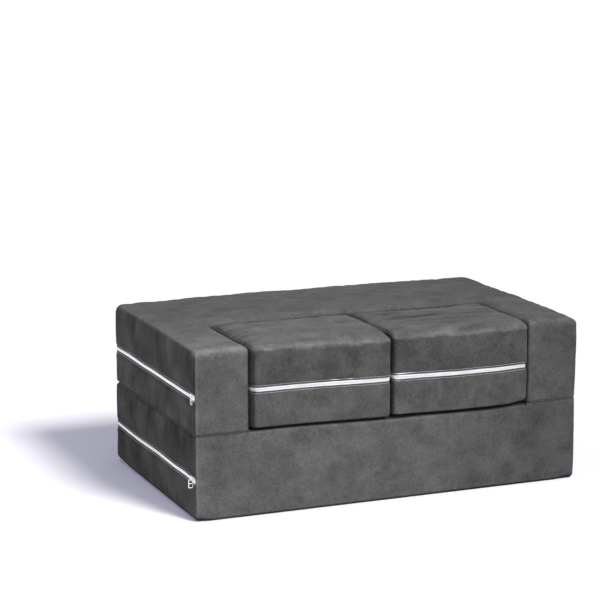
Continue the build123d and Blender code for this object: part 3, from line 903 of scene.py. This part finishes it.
def recess_plan(x, y, z=0):
    """The distance from the recess seen from above, which is open at the front."""
    return rounded_plan(x, y, (0, recess_back - recess_reach), (recess_half, recess_reach),
                        0.0, recess_corner)


def top_plan(x, y, z):
    """The U of the back and the arms, with a rounded edge where the recess opens."""
    return rounded(base_plan(x, y, z), -recess_plan(x, y), recess_mouth_radius)


def top_summit(x, y):
    return (top_corner_height + crown_along * (1 - (x / base_half[0])**2)
            + crown_across * (1 - (y / base_half[1])**2))


def top_upper_radius(x, y):
    inner = 1 - ramp(recess_plan(x, y), 25 * mm, 50 * mm)
    front = 1 - ramp_from(base_low.y, y, 20, 60)
    back_left = (1 - ramp_from(base_low.x, x, 30, 90)) * ramp_from(base_high.y, y, -120, -30)
    return (top_edge_radius + (arm_inner_radius - top_edge_radius) * inner * (1 - 0.4 * front)
            + 4 * mm * front * (1 - inner) + 9 * mm * back_left)


def top_lower_radius(x, y):
    inner = recess_plan(x, y) < 30 * mm
    front = y < base_low.y + 12 * mm
    return np.where(inner | front, front_hinge_edge, base_top_edge)


def round_the_recess(x, y, z):
    """The cells of a grid that the U of the back and the arms fills."""
    return (abs(x) > recess_half) | (y > recess_back)


top_form = block_form(top_plan, top_low.z, top_summit, top_lower_radius, top_upper_radius)
recess_marks = [(side * recess_half, close_steps) for side in (-1, 1)]
points, faces, out = settled_skin(
    [grid_lines(base_low.x, base_high.x, 9 * mm, recess_marks),
     grid_lines(base_low.y, base_high.y, 9 * mm, [(recess_back, close_steps)]),
     grid_lines(top_low.z, top_corner_height + 4 * mm, 7 * mm,
                [(top_zipper_height, zipper_steps)])], round_the_recess, top_form)
out_x, out_y, out_z = out.T
in_recess = 1 - ramp(recess_plan(*points.T), 2 * mm, 12 * mm)
upper = ramp(out_z, 0.3, 0.8)
sides = upright(out) * (1 - in_recess)
swell = sides * filled_sides(points, top_low.z, 200 * mm, 13)
swell += upper * (0.6 * mm * wander(points, 0.09, 15) + 0.2 * mm * wander(points, 0.025, 16))
cloth = filled_out(
    [even_lines(base_low.x, -recess_half, recess_half, base_high.x),
     even_lines(base_low.y, recess_back, base_high.y),
     even_lines(top_low.z, top_corner_height)], round_the_recess, top_form,
    lambda p, way: ((way[:, 2] < -0.4) | (abs(way[:, 2] - 0.65) < 0.25)
                    | (abs(way[:, 0] * way[:, 1]) > 0.1) | (recess_plan(*p.T) < 6 * mm)
                    | by_zipper(p, top_zipper_height)), 3 * mm)
swell += cloth(points, out) * (1 - in_recess)
points = sewn_block("top", points, out, sides, swell, top_zipper_height, top_upper_radius,
                    top_lower_radius, (top_low.z, None), top_wave_seed)
x, y, z = points.T
left_end = ramp(-out_x, 0.4, 0.9) * (x < base_low.x + 40 * mm)
front_edge = (bell(top_corner_height - 4 * mm - z, 9 * mm)
              * (1 - ramp_from(base_low.y, y, 12, 30)))
# Painted light and shade: the left end and the front darker than the top, darker toward the right and
# on the back's top, lighter on the left arm's top near the front, and a painted highlight on the arms'
# front top edge.
nap_and_painted_light = (1 - 0.71 * left_end - 0.12 * ramp(-out_y, 0.3, 0.8) - 0.21 * ramp(x, 0.05, 0.5)
       - 0.24 * upper * ramp(y, -0.1, 0.1)
       + 0.30 * upper * (x < 0) * (1 - ramp(y, -0.28, -0.08))
       + front_edge * (0.80 * (x < 0) + 0.20 * (x > 0)))
# Painted light on the top, random tones and the left end's patches, and painted shade and a painted
# highlight at the left front corner.
nap_and_painted_light += (0.05 * wander(points, 0.05, 17) + 0.26 * upper
        + left_end * (end_patches(points, 18) + 0.03 * (z < top_zipper_height))
        + corner_shade_and_highlight(points) * (1 - upper))
# Painted shade in the recess and on the edge of its mouth.
nap_and_painted_light *= 1 - 0.4 * (1 - ramp(recess_plan(x, y), 1 * mm, 7 * mm))
# Painted shade on the front right and back left corners of the sides.
nap_and_painted_light *= 1 - 0.45 * painted_corner_shade(points, out) * (1 - upper)
# Painted shade along the bottom of the front, in the seam over the base.
nap_and_painted_light *= 1 - 0.4 * bell(z - top_low.z, 1.8 * mm) * ramp(-out_y, 0.1, 0.4)
top_cushion = make_cushion("top", "top_section", points, faces, nap_and_painted_light, 0.95, "back_foam_block",
                           "left_arm_foam_block", "right_arm_foam_block")
left_and_back_zipper("top", "top_section", top_cushion, top_zipper_height, top_wave_seed)
enamel_zipper_metal("top")


# Ottomans: two foam blocks in zipped covers, side by side in the recess of the top section.
# The zipper runs round the front and both sides of each.
ottoman_corner = 16 * mm
ottoman_top_edge = 13 * mm
ottoman_floor_edge = 6 * mm
ottoman_crown_along = 1.6 * mm
ottoman_crown_across = 1.4 * mm
zipper_rear_margin = 15 * mm


def ottoman_sag(points):
    """How far the front of each ottoman sinks with the seat below it."""
    x, y, _ = points.T
    left = 5 * mm * ramp(x, -0.26, 0.0)
    right = 2.5 * mm + 3.5 * mm * ramp(x, 0.01, 0.2) - 2.5 * mm * ramp(x, 0.28, 0.37)
    return -over_front(y) * np.where(x < 0.0025, left, right)


def make_ottoman(name, seed, fold_height, ridge_drop, left_room, round_right, top_painted_light,
                 front_painted_shades):
    """One ottoman.

    It is told how high its top's folds are, how much its seam ridge drops toward the right, how
    far its left front edge draws back and how much rounder its bottom right edge is. Its tones
    scale the colour: painted light on the top, and painted shade on the front below and above
    its zipper."""
    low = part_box(f"{name}_cover_bottom_panel")[0]
    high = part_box(f"{name}_cover_top_panel")[1]
    middle = ((low.x + high.x) / 2, (low.y + high.y) / 2)
    half = (high.x - middle[0], high.y - middle[1])
    corner_height = high.z - ottoman_crown_along - ottoman_crown_across
    height = zipper_level(name)
    zipper_rear = high.y - zipper_rear_margin
    square_right = 8 * mm if round_right else 0

    def rounder_left(x):
        return (1 - ramp_from(low.x, x, 20, 60)) * (left_room > 0)

    def plan(x, y, z):
        front_radius = ottoman_corner + 6 * mm * rounder_left(x) - square_right * (x > middle[0])
        return rounded_plan(x, y, middle, half, front_radius, ottoman_corner)

    def drawn_in(y):
        return left_room * (1 - ramp_from(low.y, y, 2, 26))

    def summit(x, y):
        return (corner_height + ottoman_crown_along * (1 - ((x - middle[0]) / half[0])**2)
                + ottoman_crown_across * (1 - ((y - middle[1]) / half[1])**2))

    def top_edge(x, y):
        return ottoman_top_edge + 9 * mm * rounder_left(x)

    def floor_edge(x, y):
        return ottoman_floor_edge + round_right * ramp_from(high.x, x, -45, -12)

    form = block_form(plan, low.z, summit, floor_edge, top_edge)
    points, faces, out = settled_skin(
        [grid_lines(low.x, high.x, 7 * mm), grid_lines(low.y, high.y, 7 * mm),
         grid_lines(low.z, corner_height + 1 * mm, 7 * mm, [(height, zipper_steps)])],
        whole, form)
    out_x, out_y, out_z = out.T
    x, y, z = points.T
    front = ramp(-out_y, 0.3, 0.8)
    upper = ramp(out_z, 0.3, 0.8)
    swell = front * (0.5 * mm * wander(points, 0.09, seed)
                     + 0.2 * mm * wander(points, (0.02, 0.02, 0.06), seed + 1))
    swell += upper * (0.6 * mm * wander(points, 0.08, seed + 2)
                      + fold_height * wander(points, (0.20, 0.024, 0.1), seed + 3))
    seam_drop = corner_height - z - ridge_drop * ramp(x, low.x, middle[0])
    ridge = (1.3 * mm * bell(seam_drop - 9.5 * mm, 2.0 * mm)
             - 0.9 * mm * bell(seam_drop - 3.2 * mm, 3.5 * mm))
    uneven = 1 + 0.35 * wander(points, (0.03, 0.03, 0.3), seed + 4)
    swell += ridge * uneven * ramp(-out_y, 0.12, 0.35)
    puckers = np.exp(-abs(seam_drop - 14 * mm) / (14 * mm)) * ramp(-out_y, 0.2, 0.5)
    swell += 0.35 * mm * puckers * wander(points, (0.013, 0.013, 0.2), seed + 5)
    left_side = ramp(-out_x, 0.5, 0.9)
    swell -= (zipper_dent(z - height, beside_slider(name, y) * left_side)
              * (1 - ramp_from(zipper_rear, y, -1, 2)))
    swell -= seam_lines(points, out, top_edge, floor_edge)
    swell -= drawn_in(y) * left_side
    swell += square_right * 0.19 * ramp(out_x, 0.3, 0.8)
    cloth = filled_out(
        [even_lines(*ends) for ends in zip(low, (high.x, high.y, corner_height))], whole, form,
        lambda p, way: ((way[:, 2] < -0.4) | (abs(way[:, 2] - 0.65) < 0.25)
                        | (abs(way[:, 0]) > 0.4) | (way[:, 1] > 0.4)
                        | (abs(p[:, 2] - height) < held_by_zipper)), 2.5 * mm)
    swell += cloth(points, out) * np.maximum(front, upper)
    points += out * swell[:, None]  # and x, y and z with them
    z[:] = np.maximum(z, low.z)
    overhang = 1 - ramp_from(low.y, y, 8, 60)
    z += 4.2 * mm * overhang * (1 - ramp(z - low.z, 6 * mm, 40 * mm))
    z += ottoman_sag(points)
    above = ramp(z - height, 0, 4 * mm)
    edge_drop = seam_drop + 1.6 * mm * wander(points, (0.02, 0.02, 0.3), seed + 7)
    on_front = ramp(-out_y, 0.15, 0.5) * ramp(edge_drop, 9 * mm, 12.5 * mm)
    # Painted shade on the front, below and above its zipper, and painted light on the top.
    nap_and_painted_light = 1 + on_front * ((front_painted_shades[0] - 1) * (1 - above) + (front_painted_shades[1] - 1) * above)
    nap_and_painted_light += (top_painted_light - 1) * (1 - on_front) * ramp(out_z, -0.1, 0.4)
    # A painted highlight along the top front edge, broken unevenly.
    uneven_highlight = np.clip(0.5 + 0.6 * wander(points, (0.022, 0.022, 0.05), seed + 8), 0, 1.4)
    nap_and_painted_light += ((0.15 + 0.48 * (top_painted_light - 1)) * uneven_highlight * bell(edge_drop - 6 * mm, 5.5 * mm)
            * ramp(-out_y, 0.02, 0.2))
    nap_and_painted_light += 0.05 * wander(points, 0.05, seed + 6)
    nap_and_painted_light += upper * (0.05 + 110 * fold_height) * wander(points, (0.10, 0.02, 0.1), seed + 9)
    # Painted shade under the front's overhang.
    nap_and_painted_light *= 1 - 0.35 * ramp(-out_z, 0.5, 0.9) * overhang
    # Painted shade on the sides, in the gaps beside the arms and the other ottoman.
    nap_and_painted_light *= 1 - 0.35 * ramp(abs(out_x), 0.6, 0.95)
    cushion = make_cushion(name, name, points, faces, nap_and_painted_light, 0.9, f"{name}_foam_core")

    def path(inset):
        left, right, face = low.x + inset, high.x - inset, low.y + inset
        left_radius = ottoman_corner + (6 * mm if left_room else 0)
        line = rounded_path([(right, zipper_rear), (right, face), (left, face),
                             (left, zipper_rear)],
                            [ottoman_corner - square_right - inset, left_radius - inset],
                            path_spacing)
        line[:, 0] += drawn_in(line[:, 1]) * (1 - ramp_from(low.x, line[:, 0], 4, 20))
        return line

    make_zipper(name, name, cushion, height, ottoman_sag, path)
    enamel_zipper_metal(name)


make_ottoman("left_ottoman", 31, 0.4 * mm, 3.5 * mm, 2.5 * mm, 0, 1.40, (0.80, 0.67))
make_ottoman("right_ottoman", 57, 0.9 * mm, 0, 0, 12 * mm, 1.12, (0.78, 0.66))


# Stage: a white floor and background, a far key lamp in front and a little to the right, a soft
# overhead lamp, two small soft boxes, in front and beside the left end, and the camera at the
# photograph's place.
floor_reach = 80.0
floor_mesh = bpy.data.meshes.new("floor")
floor_mesh.from_pydata([(x * floor_reach, y * floor_reach, 0)
                        for x, y in ((-1, -1), (1, -1), (1, 1), (-1, 1))], [], [(0, 1, 2, 3)])
floor = placed("floor", floor_mesh)


def seen_directly(tree):
    """1 for what the camera and the gloss see, and 0 for what lights the object."""
    ray = node(tree, "ShaderNodeLightPath").node.outputs
    return node(tree, "ShaderNodeMath", {0: ray["Is Camera Ray"], 1: ray["Is Glossy Ray"]},
                operation="MAXIMUM")


def white_floor(tree):
    """White paper that keeps a bluish shadow. The camera and the gloss see it white elsewhere."""
    return {"Base Color": (0.98, 0.98, 0.98, 1), "Roughness": 1.0, "Specular IOR Level": 0.0,
            "Emission Color": (0.10, 0.095, 0.18, 1), "Emission Strength": seen_directly(tree)}


floor_mesh.materials.append(finish("white_floor", white_floor))

scene.world = bpy.data.worlds.new("studio")
scene.world.use_nodes = True
sky = scene.world.node_tree
ambient = sky.nodes["Background"]
plugged(sky, ambient, {"Color": (1, 1, 1, 1), "Strength": 0.14})
backdrop = node(sky, "ShaderNodeBackground", {"Color": (1, 1, 1, 1), "Strength": 1.0})
plugged(sky, sky.nodes["World Output"], {"Surface": node(sky, "ShaderNodeMixShader", {
    0: seen_directly(sky), 1: ambient.outputs[0], 2: backdrop})})


def lamp(name, kind, way, power, place=(0, 0, 0), **shape):
    """A studio lamp that shines the way given, hidden from the camera."""
    light = bpy.data.lights.new(name, kind)
    set_all(light, energy=power, **shape)
    set_all(placed(name, light), location=place, rotation_mode="QUATERNION",
            rotation_quaternion=Vector(way).to_track_quat("-Z", "Y"), visible_camera=False)


lamp("key_lamp", "SUN", (-0.18, 0.46, -0.45), 3.15, angle=math.radians(16))
lamp("overhead_lamp", "SUN", (0.05, 0.05, -1), 0.4, angle=math.radians(80))
lamp("front_soft_box", "AREA", (0.1, 2.2, -0.7), 4, (-0.45, -2.2, 0.9), size=0.8)
lamp("left_soft_box", "AREA", (1.9, 0.7, -0.1), 18, (-2.4, -0.7, 0.3), size=0.6)

photo_width = 600  # in pixels, as the focal length is
focal_length = 2136.6
camera_tilt = 11.18  # degrees down
camera_turn = 22.50  # degrees to the right of straight ahead
camera = placed("camera", bpy.data.cameras.new("camera"))
set_all(camera.data, sensor_width=36, lens=36 * focal_length / photo_width, clip_start=0.1,
        clip_end=60)
set_all(camera, location=(-2.135, -4.879, 1.495),
        rotation_euler=(math.radians(90 - camera_tilt), 0, -math.radians(camera_turn)))
scene.camera = camera
scene.view_settings.view_transform = "Standard"
